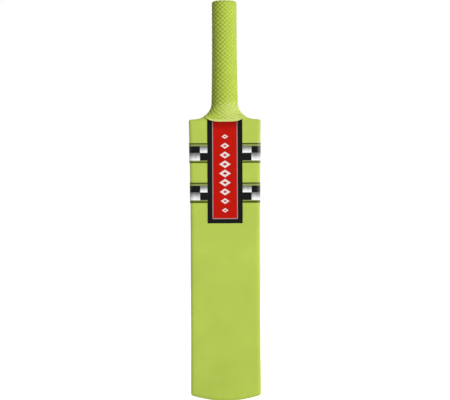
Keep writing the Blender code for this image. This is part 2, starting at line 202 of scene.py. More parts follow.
# Heights and places that follow from the sizes above
FILLET_FOOT = BLADE_LENGTH + SHOULDER_RISE
NECK_TOP = FILLET_FOOT + NECK_RISE
FLARE_TOP = FILLET_FOOT + FILLET_RISE
SHOULDER_Z = BLADE_LENGTH - SHOULDER_CORNER_RADIUS
COVER_FRONT = FACE_Y + SHEET_THICKNESS + GAP
HANDLE_TOP = BAT_LENGTH - GRIP_LIP - GAP
GRIP_SEAT = 2 * GAP + TWINE_THICKNESS
SKIRT_SEAT = GAP + SKIRT_WALL
GRIP_NECK_RADIUS = HANDLE_NECK_RADIUS + GRIP_SEAT + GRIP_WALL
GRIP_TOP_RADIUS = HANDLE_TOP_RADIUS + GRIP_SEAT + GRIP_WALL
NECK_HALF_WIDTH = GRIP_NECK_RADIUS - SKIRT_SEAT
FILLET_X = NECK_HALF_WIDTH + FILLET_RUN
TOE_CORNER_X = TOE_HALF_WIDTH - TOE_CORNER_RADIUS
TOE_CENTRE_Z = math.sqrt(TOE_RADIUS**2 - TOE_FLAT_HALF_WIDTH**2)
TOE_CORNER_Z = TOE_CENTRE_Z - math.sqrt((TOE_RADIUS - TOE_CORNER_RADIUS) ** 2 - TOE_CORNER_X**2)
STICKER_FRONT = FACE_Y - GAP - STICKER_THICKNESS
TONGUE_FOOT = LABEL_HIGH[2] + GAP


def screen(red, green, blue):
    """A colour given as 0 to 255 screen levels, as linear values."""
    level = np.array([red, green, blue]) / 255
    linear = np.where(level <= 0.04045, level / 12.92, ((level + 0.055) / 1.055) ** 2.4)
    return tuple(float(v) for v in linear)


def opaque(colour):
    """A colour with full alpha, or a socket as it is."""
    return colour if isinstance(colour, Value) else (*colour[:3], 1.0)


def maths(operation, turned=False):
    """A method of Value that adds a Math node, with the operands turned about if asked."""
    def method(self, *other):
        operands = (*other, self) if turned else (self, *other)
        return self.board.node("Math", {"operation": operation}, dict(enumerate(operands)))
    return method


class Value:
    """A socket in a node tree, so that shader maths reads as arithmetic."""

    def __init__(self, board, socket):
        self.board = board
        self.socket = socket

    __add__ = __radd__ = maths("ADD")
    __sub__ = maths("SUBTRACT")
    __rsub__ = maths("SUBTRACT", turned=True)
    __mul__ = __rmul__ = maths("MULTIPLY")
    __truediv__ = maths("DIVIDE")
    __abs__ = maths("ABSOLUTE")
    __gt__ = maths("GREATER_THAN")
    __lt__ = maths("LESS_THAN")
    least = maths("MINIMUM")
    most = maths("MAXIMUM")
    sine = maths("SINE")
    floor = maths("FLOOR")

    def wander(self, amount):
        """How far a noise strays from its middle, times an amount."""
        return (self - NOISE_MIDDLE) * amount

    def ramp(self, start, end):
        """Eases from 0 to 1 while this value goes from start to end."""
        return self.board.node("MapRange", {"interpolation_type": "SMOOTHSTEP"}, {0: self, 1: start, 2: end})

    def past(self, limit, blur):
        """Turns from 0 to 1 where this value passes a limit, over a blur to each side."""
        return self.ramp(limit - blur, limit + blur)


class Board:
    """A node tree being wired."""

    def __init__(self, tree):
        self.tree = tree
        self.shader = tree.nodes.get("Principled BSDF")

    def add(self, kind, settings=None, inputs=None):
        """Adds a node: its settings come first, then the values or links of its sockets."""
        made = self.tree.nodes.new("ShaderNode" + kind)
        for key, value in (settings or {}).items():
            setattr(made, key, value)
        self.feed(made, inputs or {})
        return made

    def node(self, kind, settings=None, inputs=None, output=0):
        """Adds a node and gives one of its outputs."""
        return Value(self, self.add(kind, settings, inputs).outputs[output])

    def feed(self, made, inputs):
        """Sets or links sockets of a node."""
        for key, value in inputs.items():
            if isinstance(value, Value):
                self.tree.links.new(value.socket, made.inputs[key])
            else:
                made.inputs[key].default_value = value

    def place(self):
        """Object coordinates as a vector."""
        return self.node("TexCoord", output="Object")

    def axes(self):
        """Object coordinates as x, y and z."""
        parts = self.add("SeparateXYZ", None, {0: self.place()})
        return [Value(self, socket) for socket in parts.outputs]

    def stretched(self, x, y, z):
        """Object coordinates scaled along each axis."""
        return self.node("VectorMath", {"operation": "MULTIPLY"}, {0: self.place(), 1: (x, y, z)})

    def noise(self, scale, detail=2.0, roughness=0.5, place=None):
        """Soft noise from about 0.3 to 0.7, with this many lumps to the metre."""
        inputs = {"Vector": place or self.place(), "Scale": scale, "Detail": detail, "Roughness": roughness}
        return self.node("TexNoise", None, inputs)

    def blend(self, first, second, share):
        """The first colour turning into the second as share goes from 0 to 1."""
        inputs = {0: share, 6: opaque(first), 7: opaque(second)}
        return self.node("Mix", {"data_type": "RGBA"}, inputs, output=2)

    def tinted(self, colour, amount):
        """A colour multiplied by a grey amount."""
        base = colour if isinstance(colour, Value) else tuple(colour[:3])
        return self.node("VectorMath", {"operation": "SCALE"}, {0: base, "Scale": amount})

    def coat(self, colour, roughness, specular, relief, distance):
        """Wires the shader. Its normal comes from a relief that runs over about 0 to 1, times a distance."""
        normal = self.node("Bump", None, {"Height": relief, "Distance": distance})
        self.feed(self.shader, {"Base Color": colour, "Roughness": roughness, "Normal": normal})
        self.feed(self.shader, {"Specular IOR Level": specular})


def finish(name):
    """A new material and the board that wires it."""
    made = bpy.data.materials.new(name)
    made.use_nodes = True
    return made, Board(made.node_tree)


def rubber(name, colour, mottle, roughness, specular):
    """Matte moulded rubber: slow mottling, a fine speckle, and a pebbled grain in its normals."""
    made, board = finish(name)
    clouds = board.noise(26.0, detail=3.0)
    speckle = board.noise(900.0, roughness=0.6)
    tone = 1.0 + clouds.wander(mottle) + speckle.wander(0.6 * mottle)
    grain = board.noise(1500.0, roughness=0.6) * 0.6 + board.noise(320.0) * 0.4
    board.coat(board.tinted(colour, tone), roughness + clouds.wander(0.16), specular, grain, RUBBER_GRAIN)
    return made


def placed(name, data):
    """A new object in the scene."""
    made = bpy.data.objects.new(name, data)
    bpy.context.scene.collection.objects.link(made)
    return made


def meshed(name, points, quads, material):
    """A new object of quads in one material."""
    mesh = bpy.data.meshes.new(name)
    mesh.from_pydata(points.tolist(), [], quads.tolist())
    mesh.update()
    mesh.materials.append(material)
    return placed(name, mesh)


def add_piece(name, points, quads, material, slot, replaced, sharp=CREASE):
    """A closed mesh from its points and quads, faces outwards, riding on the bat's one body."""
    flat = points.reshape(-1, 3)
    corners = flat[quads]
    across, along = corners[:, 2] - corners[:, 0], corners[:, 3] - corners[:, 1]
    if np.einsum("ij,ij->", corners.mean(1), np.cross(across, along)) < 0:
        quads = quads[:, ::-1]
    made = meshed(name, flat, quads, material)
    made.data.shade_smooth()
    made.data.set_sharp_from_angle(angle=math.radians(sharp))
    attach(made, "root")
    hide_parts(*replaced)
    return made


def woven(rows, columns, wrap_rows=False, wrap_columns=False):
    """Quads between neighbours on a grid of rows and columns, which may close on itself either way."""
    row = np.arange(rows if wrap_rows else rows - 1)[:, None]
    column = np.arange(columns if wrap_columns else columns - 1)[None, :]
    above, beside = (row + 1) % rows, (column + 1) % columns
    here = row * columns + column
    quads = [here, row * columns + beside, above * columns + beside, above * columns + column]
    return np.stack(quads, -1).reshape(-1, 4)


def bridged(first, count):
    """Quads across a ring, each between two steps up one side and the mirrored two of the other side."""
    step = np.arange(count // 2 - 1)
    last = first + count - 1
    return np.stack([first + step, first + step + 1, last - step - 1, last - step], -1)


def capped(rings):
    """Stacked rings and the quads of a closed form over them, with both of its ends bridged."""
    rows, count = rings.shape[:2]
    start, end = bridged(0, count)[:, ::-1], bridged((rows - 1) * count, count)
    return rings, np.concatenate([woven(rows, count, wrap_columns=True), start, end])


def eased(share):
    """A smooth step from 0 to 1."""
    held = np.clip(share, 0, 1)
    return held * held * (3 - 2 * held)


def side_half_width(z):
    """Half the blade's width: two parabolas that widen from the waist to the toe corner and the shoulder."""
    below = z < WAIST_HEIGHT
    end = np.where(below, TOE_CORNER_Z, SHOULDER_Z)
    widening = np.where(below, TOE_HALF_WIDTH, SHOULDER_HALF_WIDTH) - WAIST_HALF_WIDTH
    return WAIST_HALF_WIDTH + widening * ((z - WAIST_HEIGHT) / (end - WAIST_HEIGHT)) ** 2


def swell(z, thicknesses):
    """A thickness along the blade: one parabola down to the toe, another down to the shoulders."""
    toe, peak, neck = thicknesses
    low = peak + (toe - peak) * (1 - z / SWELL_HEIGHT) ** 2
    high = peak + (neck - peak) * ((z - SWELL_HEIGHT) / (BLADE_LENGTH - SWELL_HEIGHT)) ** 2
    return np.where(z < SWELL_HEIGHT, low, high)


def back_y(x, z):
    """The blade's back: a hyperbola across each section, from the spine down to the edges."""
    height = np.minimum(z, SHOULDER_Z)
    share = np.abs(x) / side_half_width(np.maximum(height, TOE_CORNER_Z))
    whole_fall = math.hypot(1, SPINE_ROUNDING) - SPINE_ROUNDING
    fall = (np.hypot(share, SPINE_ROUNDING) - SPINE_ROUNDING) / whole_fall
    spine = swell(height, SPINE_THICKNESSES)
    return FACE_Y + spine + (swell(height, EDGE_THICKNESSES) - spine) * fall


def half_outline(inset):
    """The right half of the blade's outline moved in by each inset: arcs at the toe, its corner, the shoulder
    and the fillet, and the parabolic side between them. A corner's radius shrinks with the inset, down to a
    sharp one. Returns x and z, one row for each inset."""
    inset = np.asarray(inset, float)[:, None]
    turn_reach = np.maximum(TOE_CORNER_RADIUS - inset, SHARPEST_RADIUS)
    turn_x = TOE_HALF_WIDTH - inset - turn_reach
    turn_z = TOE_CENTRE_Z - np.sqrt((TOE_RADIUS - inset - turn_reach) ** 2 - turn_x**2)
    shoulder_reach = np.maximum(SHOULDER_CORNER_RADIUS - inset, SHARPEST_RADIUS)
    shoulder_x, shoulder_z = (end - inset - shoulder_reach for end in (SHOULDER_HALF_WIDTH, BLADE_LENGTH))
    start = math.asin(TOE_FLAT_HALF_WIDTH / TOE_RADIUS)
    corner = np.arctan2(turn_x, TOE_CENTRE_Z - turn_z)
    toe = start + (corner - start) * np.linspace(0, 1, 28)
    turn = corner + (math.pi / 2 - corner) * np.linspace(0, 1, 9)[1:]
    side = turn_z + (shoulder_z - turn_z) * np.linspace(0, 1, 62)[1:-1]
    shoulder = np.linspace(0, math.pi / 2, 8)
    reach, rise = TOE_RADIUS - inset, FILLET_RISE + inset
    fillet = np.linspace(0, 1, 22) * np.arccos((FLARE_TOP - NECK_TOP) / rise)
    x = [
        reach * np.sin(toe),
        turn_x + turn_reach * np.sin(turn),
        side_half_width(side) - inset,
        shoulder_x + shoulder_reach * np.cos(shoulder),
        FILLET_X - (FILLET_RUN + inset) * np.sin(fillet),
    ]
    z = [
        TOE_CENTRE_Z - reach * np.cos(toe),
        turn_z - turn_reach * np.cos(turn),
        side,
        shoulder_z + shoulder_reach * np.sin(shoulder),
        FLARE_TOP - rise * np.cos(fillet),
    ]
    return np.concatenate(x, 1), np.concatenate(z, 1)


def tucked(z):
    """How far a point of the blade is under the grip: from 0 at the grip's edge to 1 at the neck."""
    side_edge = FILLET_FOOT + SKIRT_SIDE_RISE
    return eased((z - side_edge + GAP) / (NECK_TOP - side_edge))


def face_surface():
    """The rubber sheet: the outline carried round a quarter of an ellipse at its front edge and straight back
    from there. Its tongue under the grip thins and narrows towards the neck."""
    quarter = np.linspace(0, math.pi / 2, 12)
    inset = np.array([EDGE_RUN + FLAT_STEP, *(EDGE_RUN * (1 - np.sin(quarter))), 0.0])
    depth = np.array([0.0, *(EDGE_DEPTH * (1 - np.cos(quarter))), SHEET_THICKNESS])[:, None]
    x, z = half_outline(inset)
    thinning = TONGUE_THINNING * eased((z - TONGUE_FOOT) / (NECK_TOP - TONGUE_FOOT))
    x = x * (1 - TONGUE_TAPER * tucked(z))
    right = np.stack([x, FACE_Y + depth + thinning * (1 - depth / SHEET_THICKNESS), z], -1)
    return capped(np.concatenate([right, right[:, ::-1] * (-1, 1, 1)], 1))


def skin_wall(depth):
    """One wall of the skin, depth inside the blade: along the outline, a section that runs up the side, round
    the edge and over the ridged back. Under the grip its front edge draws back from the neck."""
    quarter = np.linspace(0, math.pi / 2, 8)
    radius = EDGE_RADIUS - depth
    inset = depth + np.array([0.0, 0.0, *(radius * (1 - np.cos(quarter)))])
    drop = depth + radius * (1 - np.sin(quarter))
    x, z = half_outline(inset)
    x, z = x.T, z.T
    turned = back_y(x[:, 2:], z[:, 2:]) - drop
    front = COVER_FRONT + SKIN_TRIM * tucked(z[:, :1])
    y = np.concatenate([front, (front + turned[:, :1]) / 2, turned], 1)
    share = np.linspace(1, -1, 42)[None, 1:-1]
    share = share * np.sqrt(np.abs(share))
    ridge_x, ridge_z = x[:, -1:] * share, z[:, -1:] + 0 * share
    ridge = np.stack([ridge_x, back_y(ridge_x, ridge_z) - depth, ridge_z], -1)
    right = np.stack([x, y, z], -1)
    return np.concatenate([right, ridge, right[:, ::-1] * (-1, 1, 1)], 1)


def skin_surface():
    """The skin: its outer wall, its inner wall turned about, each one's end at the toe, and the rims."""
    outer, inner = skin_wall(0.0), skin_wall(COVER_THICKNESS)
    rows, count = outer.shape[:2]
    half = rows * count
    row, column = np.arange(rows - 1) * count, np.arange(count - 1)
    last = (rows - 1) * count
    rims = [
        np.stack([row, row + count, row + half + count, row + half], -1),
        np.stack([row + count, row, row + half, row + half + count], -1) + (count - 1),
        np.stack([column, column + 1, column + half + 1, column + half], -1) + last,
        np.array([[count - 1, 0, half, half + count - 1]]),
    ]
    walls = [woven(rows, count), woven(rows, count)[:, ::-1] + half]
    ends = [bridged(0, count)[:, ::-1], bridged(0, count) + half]
    return np.concatenate([outer, inner]), np.concatenate([*walls, *ends, *rims])


def bulge(angle, squareness):
    """A point on the unit superellipse, angle 0 in front: a circle at squareness 2, a square when high."""
    across, forward = np.sin(angle), np.cos(angle)
    reach = (np.abs(across) ** squareness + np.abs(forward) ** squareness) ** (-1 / squareness)
    return across * reach, forward * reach


def flare_half_width(z, seat):
    """Half the grip's width over the shoulder fillets, seat outside the willow: a quarter of an ellipse."""
    drop = np.clip((FLARE_TOP - z) / (FILLET_RISE - seat / 2), 0, 1)
    return FILLET_X - (FILLET_RUN - seat) * np.sqrt(1 - drop * drop)


def skirt_points(share, lift, seat, angle):
    """Rings of the grip's flare, seat off the blade: share 0 at its round top, 1 at lift above its edge. Its
    section is a superellipse whose front is crowned: it rises along the middle as soon as it leaves the edge,
    and above the label it falls back as a parabola towards the sides, over the sheet's thin tongue."""
    share, lift, seat = (np.reshape(v, (-1, 1)) for v in (share, lift, seat))
    edge_across, edge_forward = bulge(angle, SKIRT_SQUARENESS)
    level = SKIRT_FACE_SHARE * edge_across**4 + (1 - SKIRT_FACE_SHARE) * (1 - np.abs(edge_forward))
    edge = FILLET_FOOT - SKIRT_FRONT_DROP + (SKIRT_SIDE_RISE + SKIRT_FRONT_DROP) * level
    z = FLARE_TOP + (edge + lift - FLARE_TOP) * share
    roundness = eased((z - NECK_TOP) / (FLARE_TOP - NECK_TOP))
    climb = np.clip((z - TONGUE_FOOT) / (FLARE_TOP - TONGUE_FOOT), 0, 1)
    across, forward = bulge(angle, 2 + (SKIRT_SQUARENESS - 2) * (1 - climb) ** SKIRT_ROUNDING)
    widest = flare_half_width(FILLET_FOOT + SKIRT_SIDE_RISE, SKIRT_SEAT) - SKIRT_SEAT
    x = np.minimum(flare_half_width(z, seat), widest + seat) * across
    crown = SKIRT_CROWN * eased((z - edge - BEAD_HEIGHT) / SKIRT_CROWN_RUN) * (1 - across**2)
    fall = SKIRT_FALL * eased((z - TONGUE_FOOT) / (NECK_TOP - TONGUE_FOOT))
    fall = (fall + NECK_FALL * eased((z - NECK_TOP) / NECK_FALL_RUN)) * across**2
    depth = seat + np.where(forward > 0, -STICKER_FRONT + crown - fall, back_y(x, z))
    depth = depth + (NECK_HALF_WIDTH + seat - depth) * roundness
    return np.stack([x, -depth * forward, z], -1)


def tube_points(radius, z, angle):
    """Level rings round the handle's axis."""
    radius, z = (np.reshape(v, (-1, 1)) for v in (radius, z))
    x, y = radius * np.sin(angle), -radius * np.cos(angle)
    return np.stack([x, y, z + 0 * x], -1)


def knobs(around, up, falling):
    """Relief of rounded knobs from 0 in the pits to 1 on their crowns, one for each whole count around and
    up: two crossing families of cosine waves, the first one, which falls to the right, with a given share."""
    first, second = np.cos(2 * math.pi * (around + up)), np.cos(2 * math.pi * (around - up))
    return 0.5 + 0.5 * (falling * first + (1 - falling) * second)


def grip_surface(looks):
    """The grip: rings carried up the outside from the bead over the flare, the tube and the rim, then down
    inside. The knobs' relief is cut into the outside along its normals, and turns finer on the flare. Returns
    the rings, the quads, and three shares over the rings: how deep in a pit, for painted shade; how stretched,
    which is most on the flare's right as painted light; and how pale along the bead, for a painted highlight."""
    angle = np.linspace(0, 2 * math.pi, looks.knobs * looks.fineness, endpoint=False)
    rim_z = BAT_LENGTH - RIM_DROP
    bead_top = BEAD_HEIGHT + BEAD_STEP
    foot = FILLET_FOOT - SKIRT_FRONT_DROP + bead_top

    # Distance up the outside, and where it lies on the skirt, tube, rim and top
    rim_arc = math.pi / 2 * math.hypot(RIM_RUN, RIM_DROP) / math.sqrt(2)
    top_run = GRIP_TOP_RADIUS - RIM_RUN - GRIP_HOLE_RADIUS - HOLE_LEDGE
    top = rim_z + rim_arc + top_run
    height = np.linspace(foot, top, int((top - foot) / looks.row_height))
    on_skirt = height < FLARE_TOP
    on_tube = (height >= FLARE_TOP) & (height <= rim_z)
    on_rim = (height > rim_z) & (height <= rim_z + rim_arc)
    on_top = height > rim_z + rim_arc

    # The outside, from the rolled bead upwards
    roll = np.radians(np.linspace(-80, 80, 11))
    bead_seat = SKIRT_SEAT - BEAD_ROOT + (BEAD_DEPTH + BEAD_ROOT) * np.cos(roll)
    bead = skirt_points(1.0, BEAD_HEIGHT / 2 * (1 + np.sin(roll)), bead_seat, angle)
    share = (FLARE_TOP - height[on_skirt]) / (FLARE_TOP - foot)
    skirt = skirt_points(share, bead_top, SKIRT_SEAT, angle)
    climb = (height[on_tube] - FLARE_TOP) / (rim_z - FLARE_TOP)
    radius = GRIP_TOP_RADIUS + (GRIP_NECK_RADIUS - GRIP_TOP_RADIUS) * (1 - climb) ** 3
    tube = tube_points(radius, height[on_tube], angle)
    bend = (height[on_rim] - rim_z) / rim_arc * math.pi / 2
    rim = tube_points(GRIP_TOP_RADIUS - RIM_RUN * (1 - np.cos(bend)), rim_z + RIM_DROP * np.sin(bend), angle)
    inwards = height[on_top] - rim_z - rim_arc
    lid = tube_points(GRIP_TOP_RADIUS - RIM_RUN - inwards, BAT_LENGTH, angle)
    outside = np.concatenate([skirt, tube, rim, lid])

    # The relief, cut along the outside's normals
    up = np.gradient(outside, axis=0)
    wrapped = np.concatenate([outside[:, -1:], outside, outside[:, :1]], 1)
    normal = np.cross((wrapped[:, 2:] - wrapped[:, :-2]) / 2, up)
    normal /= np.linalg.norm(normal, axis=-1, keepdims=True)
    around = angle[None, :] / (2 * math.pi) * looks.knobs
    climbed = height[:, None] - foot
    fine = eased((FLARE_TOP - FINE_START - height[:, None]) / FINE_RUN)
    coarse_relief = knobs(around, climbed / looks.pitch, TUBE_SLANT)
    fine_relief = knobs(around * looks.flare_knobs / looks.knobs, climbed / looks.flare_pitch, FLARE_SLANT)
    pit = 1 - coarse_relief + (coarse_relief - fine_relief) * fine
    depth = looks.depth + (looks.flare_depth - looks.depth) * fine
    fade = eased(climbed / RELIEF_FOOT_FADE) * eased((top - height[:, None]) / RELIEF_TOP_FADE)
    outside = outside - normal * (pit * depth * fade)[..., None]

    # The hole's lip, the inner wall and the inside of the flare
    lip_radius = GRIP_HOLE_RADIUS + LIP_ROUNDING * np.array([1, 0, 0, 1])
    lip_drop = np.array([0.0, LIP_ROUNDING, GRIP_LIP - LIP_ROUNDING, GRIP_LIP])
    wall_z = np.linspace(BAT_LENGTH - GRIP_LIP, FLARE_TOP + GAP, 8)
    wall_share = (wall_z - FLARE_TOP) / (HANDLE_TOP - FLARE_TOP)
    wall_radius = HANDLE_NECK_RADIUS + (HANDLE_TOP_RADIUS - HANDLE_NECK_RADIUS) * wall_share + GRIP_SEAT
    lip = tube_points(lip_radius, BAT_LENGTH - lip_drop, angle)
    wall = tube_points(wall_radius, wall_z, angle)
    inner = skirt_points(np.linspace(0, 1, 14), LIP_ROUNDING, GAP, angle)
    hem = skirt_points(1.0, 0.0, GAP + BEAD_ROOT, angle)
    rings = np.concatenate([bead, outside, lip, wall, inner, hem])
    pits, pale = np.zeros(rings.shape[:2]), np.zeros(rings.shape[:2])
    stretch_top = FLARE_TOP + looks.flare_pitch * STRETCH_ROWS
    # Paler where the flare is stretched; its fade towards the left is painted light, the side away from the
    # lamps
    stretch = eased((stretch_top - rings[..., 2]) / (FILLET_RISE * STRETCH_SHARE))
    stretch *= eased((rings[..., 0] + STRETCH_LEFT) / STRETCH_SPREAD)
    textured = slice(len(bead), len(bead) + len(outside))
    # Painted shade: how deep a point lies in a pit, to darken the colour there
    pits[textured] = pit * pit * fade
    # Painted highlight: the bead and the rubber just above it are paler at the front middle, fading towards
    # the corners
    pale[:len(bead)] = 1.0
    pale[textured] = 1 - eased(climbed / BEAD_HIGHLIGHT_HEIGHT)
    pale *= 1 - eased((np.abs(rings[..., 0]) - BEAD_HIGHLIGHT_HALF_WIDTH) / BEAD_HIGHLIGHT_SPREAD)
    return rings, woven(*rings.shape[:2], wrap_rows=True, wrap_columns=True), pits, stretch, pale


def check_surface(side, low, high):
    """One check sticker: a section across the face, round the edge and along the side, carried up the blade.
    It is a little higher than its solid, so that the outer lines have their whole width."""
    z = np.linspace(low - CHECK_MARGIN, high + CHECK_MARGIN, 15)[:, None]
    half_width = side_half_width(z)
    turn = np.linspace(0, math.pi / 2, 14)[None, :]
    corner_x, corner_y = half_width - EDGE_RUN, FACE_Y + EDGE_DEPTH

    def skin(seat):
        start = LABEL_HIGH[0] + GAP / 3 + 0 * z
        round_x = corner_x + (EDGE_RUN + seat) * np.sin(turn)
        x = np.concatenate([start, corner_x - CHECK_FLAT_STEP, round_x, half_width + seat], 1)
        y = corner_y - (EDGE_DEPTH + seat) * np.cos(turn) + 0 * z
        front, back = np.full_like(z, FACE_Y - seat), np.full_like(z, FACE_Y + EDGE_RADIUS + CHECK_WRAP)
        y = np.concatenate([front, front, y, back], 1)
        return np.stack([side * x, y, z + 0 * x], -1)

    return capped(np.concatenate([skin(GAP + STICKER_THICKNESS), skin(GAP)[:, ::-1]], 1))


def twine_surface():
    """The whipping: a ring round the tapering handle carried up it, its radius swelling in a half circle over
    each turn of the cord, and each ring starting further on so that the turns climb as a helix."""
    angle = np.linspace(0, 2 * math.pi, 48, endpoint=False)
    low, high = FLARE_TOP + TWINE_INSET, HANDLE_TOP - TWINE_INSET
    rows = int((high - low) / TWINE_PITCH * 6)
    z = np.linspace(low, high, rows)
    share = (z - FLARE_TOP) / (HANDLE_TOP - FLARE_TOP)
    bare = (HANDLE_NECK_RADIUS + (HANDLE_TOP_RADIUS - HANDLE_NECK_RADIUS) * share + GAP)[:, None]
    turns = (z - low)[:, None] / TWINE_PITCH + angle[None, :] / (2 * math.pi)
    within = 2 * (turns - np.floor(turns)) - 1
    swollen = TWINE_THICKNESS * (TWINE_CORE + (1 - TWINE_CORE) * np.sqrt(np.maximum(1 - within**2, 0)))
    radius = bare + swollen
    outer = np.stack([radius * np.sin(angle), -radius * np.cos(angle), z[:, None] + 0 * radius], -1)
    inner = tube_points(bare[::-2, 0], z[::-2], angle)
    rings = np.concatenate([outer, inner])
    return rings, woven(*rings.shape[:2], wrap_rows=True, wrap_columns=True)


def grip_finish(looks):
    """Grip rubber: knobs in the rubber's colour and darker pits, which are painted shade; a paler tone where
    the flare is stretched, fading to the left as painted light; a painted highlight along the bead; and a fine
    grain."""
    made, board = finish("grip rubber")
    pits, stretch, bead = (board.node("Attribute", {"attribute_name": name}, output="Fac") for name in SHARES)
    clouds = board.noise(60.0, detail=3.0)
    speckle = board.noise(1300.0, roughness=0.6)
    # The stretched flare's paler tone, which fades to the left as painted light
    crowns = board.blend(looks.colour, looks.stretched_colour, stretch)
    # Painted highlight along the bead
    crowns = board.blend(crowns, looks.bead_highlight_colour, bead)
    # Painted shade down in the pits, mottled by the clouds and lighter where the flare is stretched
    pit_shade = pits * (0.85 + clouds.wander(0.5)) * (1 - stretch * 0.5)
    colour = board.blend(crowns, looks.pit_shade_colour, pit_shade)
    tone = 1.0 + clouds.wander(0.14) + speckle.wander(0.10)
    roughness = 0.56 + pits * 0.2 + clouds.wander(0.15)
    relief = speckle * 0.7 + board.noise(420.0) * 0.3
    board.coat(board.tinted(colour, tone), roughness, GRIP_GLOSS, relief, RUBBER_GRAIN)
    return made


def label_finish(looks):
    """The long sticker's print: a black border, a pale stripe inside it, a red field, and a column of
    lozenges that grow towards its middle. A lozenge covers a point where its distances across and up, each as
    a share of the lozenge's half sizes, add up to less than 1, and leaves its own middle red."""
    made, board = finish("label print")
    x, _, z = board.axes()
    side = (LABEL_HIGH[0] - looks.side_border) - abs(x)
    foot = z - (LABEL_LOW[2] + looks.foot_border)
    inside = side.least(foot)
    blur = looks.print_blur
    within = inside.past(0.0, blur)
    border = 1 - within
    stripe = within * (1 - inside.past(looks.stripe, blur))

    bottom, top = looks.motif_bottom, looks.motif_top
    pitch = (top - bottom) / looks.motif_count
    count = (z - bottom) / pitch
    whole = count.floor()
    middle = abs((whole + 0.5) * (2.0 / looks.motif_count) - 1.0)
    size = 1.0 - middle * middle * MOTIF_TAPER
    across = abs(x) / (size * looks.motif_half_width)
    up = abs(count - whole - 0.5) / (size * MOTIF_HALF_HEIGHT)
    cover = across + up
    in_column = (z > bottom) * (z < top)
    lozenge = (1 - cover.ramp(*MOTIF_OUTER_EDGE)) * cover.ramp(*MOTIF_INNER_EDGE) * in_column
    clouds = board.noise(40.0)
    red = board.tinted(looks.red, 1.0 + clouds.wander(0.12))
    field = board.blend(red, looks.white, lozenge)
    striped = board.blend(field, looks.stripe_colour, stripe)
    print_colour = board.blend(striped, looks.black, border)
    # Painted shadow: the print darkens towards the grip's edge, as if shaded by the grip
    grip_edge = FILLET_FOOT - SKIRT_FRONT_DROP
    grime = z.ramp(grip_edge - looks.shadow_height, grip_edge) * looks.grime
    relief = board.noise(190.0) * 0.6 + (stripe + lozenge) * 0.4
    roughness = 0.34 + clouds.wander(0.14) + border * 0.04
    board.coat(board.tinted(print_colour, 1 - grime), roughness, PRINT_GLOSS, relief, LABEL_GRAIN)
    return made


def check_finish(name, looks, side, middle):
    """A check sticker's print: two rows of two checks about a height, on lime between dark lines, with a
    painted highlight as a paler lime band just outside each line. Every silver check turns from grey at its
    top to white at its foot, with soft upright streaks. A painted highlight pales the print along the blade's
    rounded edge, most on the right."""
    made, board = finish(name)
    x, _, z = board.axes()
    up = z - middle
    out = x * side
    blur = looks.print_blur
    boundary = looks.left_boundary if side < 0 else looks.right_boundary
    upper = up.past(0.0, blur)
    outer = out.past(boundary, blur)
    silver = upper * (1 - outer) + (1 - upper) * outer
    in_rows = (1 - up.past(looks.upper_row, blur)) * up.past(-looks.lower_row, blur)

    down = upper * (1 - up / looks.upper_row) + (1 - upper) * (up / -looks.lower_row)
    streaks = board.noise(1.0, place=board.stretched(240.0, 240.0, 50.0))
    shine = (down + streaks.wander(looks.streaks)).ramp(0.0, 1.0)
    silver_colour = board.blend(looks.silver_dark, looks.silver_light, shine)

    clouds = board.noise(70.0)
    off_upper, off_lower = up - looks.upper_line, up + looks.lower_line
    lines = [(abs(off_upper), looks.upper_line_width / 2), (abs(off_lower), looks.lower_line_width / 2)]
    line = sum(1 - off.past(half, blur) for off, half in lines)
    # Painted highlight: a paler lime band just outside each line
    glint = sum(1 - abs(off - half - GLINT_OFFSET).ramp(0.0, GLINT_REACH) for off, half in lines)
    between = (1 - off_upper.past(0.0, blur)) * off_lower.past(0.0, blur)
    lime = board.tinted(looks.lime, 1.0 + clouds.wander(0.1))
    ground = board.blend(lime, looks.lime_glint, glint.least(1.0))
    ground = board.blend(ground, looks.lime_dark, between)
    ground = board.blend(ground, looks.line_colour, line.least(1.0))
    checks = board.blend(looks.black, silver_colour, silver)
    printed = board.blend(ground, checks, in_rows)
    # Painted highlight along the blade's rounded edge, strongest on the right, the side towards the lamps
    highlit = looks.left_edge_highlight if side < 0 else looks.right_edge_highlight
    edge = out.ramp(WAIST_HALF_WIDTH - looks.edge_highlight_reach, WAIST_HALF_WIDTH + HIGHLIGHT_PAST_EDGE)
    edge_highlight = edge * (0.55 + clouds.wander(0.8)) * highlit
    colour = board.blend(printed, looks.edge_highlight_colour, edge_highlight)
    roughness = 0.36 + clouds.wander(0.14) + edge_highlight * 0.3
    board.coat(colour, roughness, PRINT_GLOSS, board.noise(230.0), CHECK_GRAIN)
    return made


def wood(name, pale, dark, ring_pitch, fibre):
    """Straight-grained wood along the bat: growth rings as a wave across it, bent by noise, and fibres."""
    made, board = finish(name)
    x, y, _ = board.axes()
    slow = board.noise(1.0, place=board.stretched(60.0, 60.0, 6.0))
    rings = ((x + y * 0.35 + slow * (0.6 * ring_pitch)) * (2 * math.pi / ring_pitch)).sine()
    fibres = board.noise(1.0, detail=3.0, roughness=0.6, place=board.stretched(fibre, fibre, fibre / 30))
    share = (0.35 + rings * 0.25 + fibres.wander(0.9)).ramp(0.0, 1.0)
    board.coat(board.blend(pale, dark, share), 0.55 + fibres.wander(0.3), INNER_GLOSS, fibres, WOOD_GRAIN)
    return made


def twine_finish():
    """Waxed twine: two twisted strands along each turn, with loose fibres."""
    made, board = finish("waxed twine")
    x, y, z = board.axes()
    twist = ((x + y) * 2600.0 + z * 4200.0).sine()
    fibres = board.noise(2400.0, roughness=0.6)
    share = (0.4 + twist * 0.2 + fibres.wander(0.8)).ramp(0.0, 1.0)
    colour = board.blend(screen(226, 208, 162), screen(168, 142, 96), share)
    board.coat(colour, 0.8 + fibres.wander(0.2), INNER_GLOSS, twist * 0.5 + fibres, TWINE_GRAIN)
    return made


